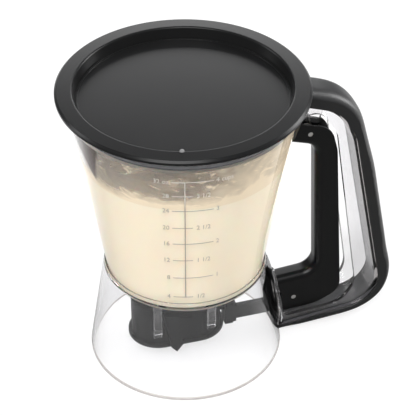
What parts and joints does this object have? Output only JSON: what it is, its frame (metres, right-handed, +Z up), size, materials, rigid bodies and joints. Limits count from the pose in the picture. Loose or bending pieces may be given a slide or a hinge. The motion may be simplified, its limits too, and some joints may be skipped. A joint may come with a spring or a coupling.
{
  "type": "pancake batter dispenser",
  "caption": "Tapered clear batter jug on a flared stand, with lift-off lid, D-shaped handle and a finger trigger that slides a gate valve open under the funnel.",
  "frame": {"origin": "centre of the stand skirt's rest ring, on the surface it stands on", "axes": "+Z up along the cup's axis, +X out along the handle"},
  "size_m": [0.2004, 0.143, 0.1838],
  "materials": {
    "clear_plastic": "clear, polished",
    "black_plastic": "fine satin texture",
    "soft_grip": "soft matt overmould",
    "silicone": "smooth, slightly translucent",
    "steel": "drawn wire and rod"
  },
  "bodies": {
    "container": {"cup_body": "clear_plastic", "stand_skirt": "clear_plastic", "handle_frame": "clear_plastic", "grip_shell": "soft_grip", "valve_housing": "black_plastic", "valve_cover": "black_plastic", "housing_clips": "clear_plastic", "outlet_seal": "silicone", "nozzle": "silicone", "return_spring": "steel"},
    "trigger": {"trigger": "black_plastic", "pivot_pin": "steel", "link_pin": "steel"},
    "gate": {"gate_slide": "black_plastic", "pull_arm": "black_plastic"},
    "lid": {"lid_shell": "black_plastic", "lid_gasket": "silicone"}
  },
  "joints": [
    {"name": "trigger_swing", "type": "hinge", "parent": "container", "child": "trigger", "pos_m": [0.0737, 0, 0.1406], "axis": [0, -1, 0], "range_deg": [0, 6], "stiffness_Nm_per_rad": 0.25, "springref_deg": -17.19, "deforming": ["return_spring"]},
    {"name": "gate_pull", "type": "slide", "parent": "container", "child": "gate", "axis": [1, 0, 0], "range_m": [0, 0.0127]},
    {"name": "lid_lift", "type": "slide", "parent": "container", "child": "lid", "axis": [0, 0, 1], "range_m": [0, 0.08]}
  ],
  "couplings": [
    {"joint": "gate_pull", "follows": "trigger_swing", "m_per_rad": 0.12053}
  ]
}
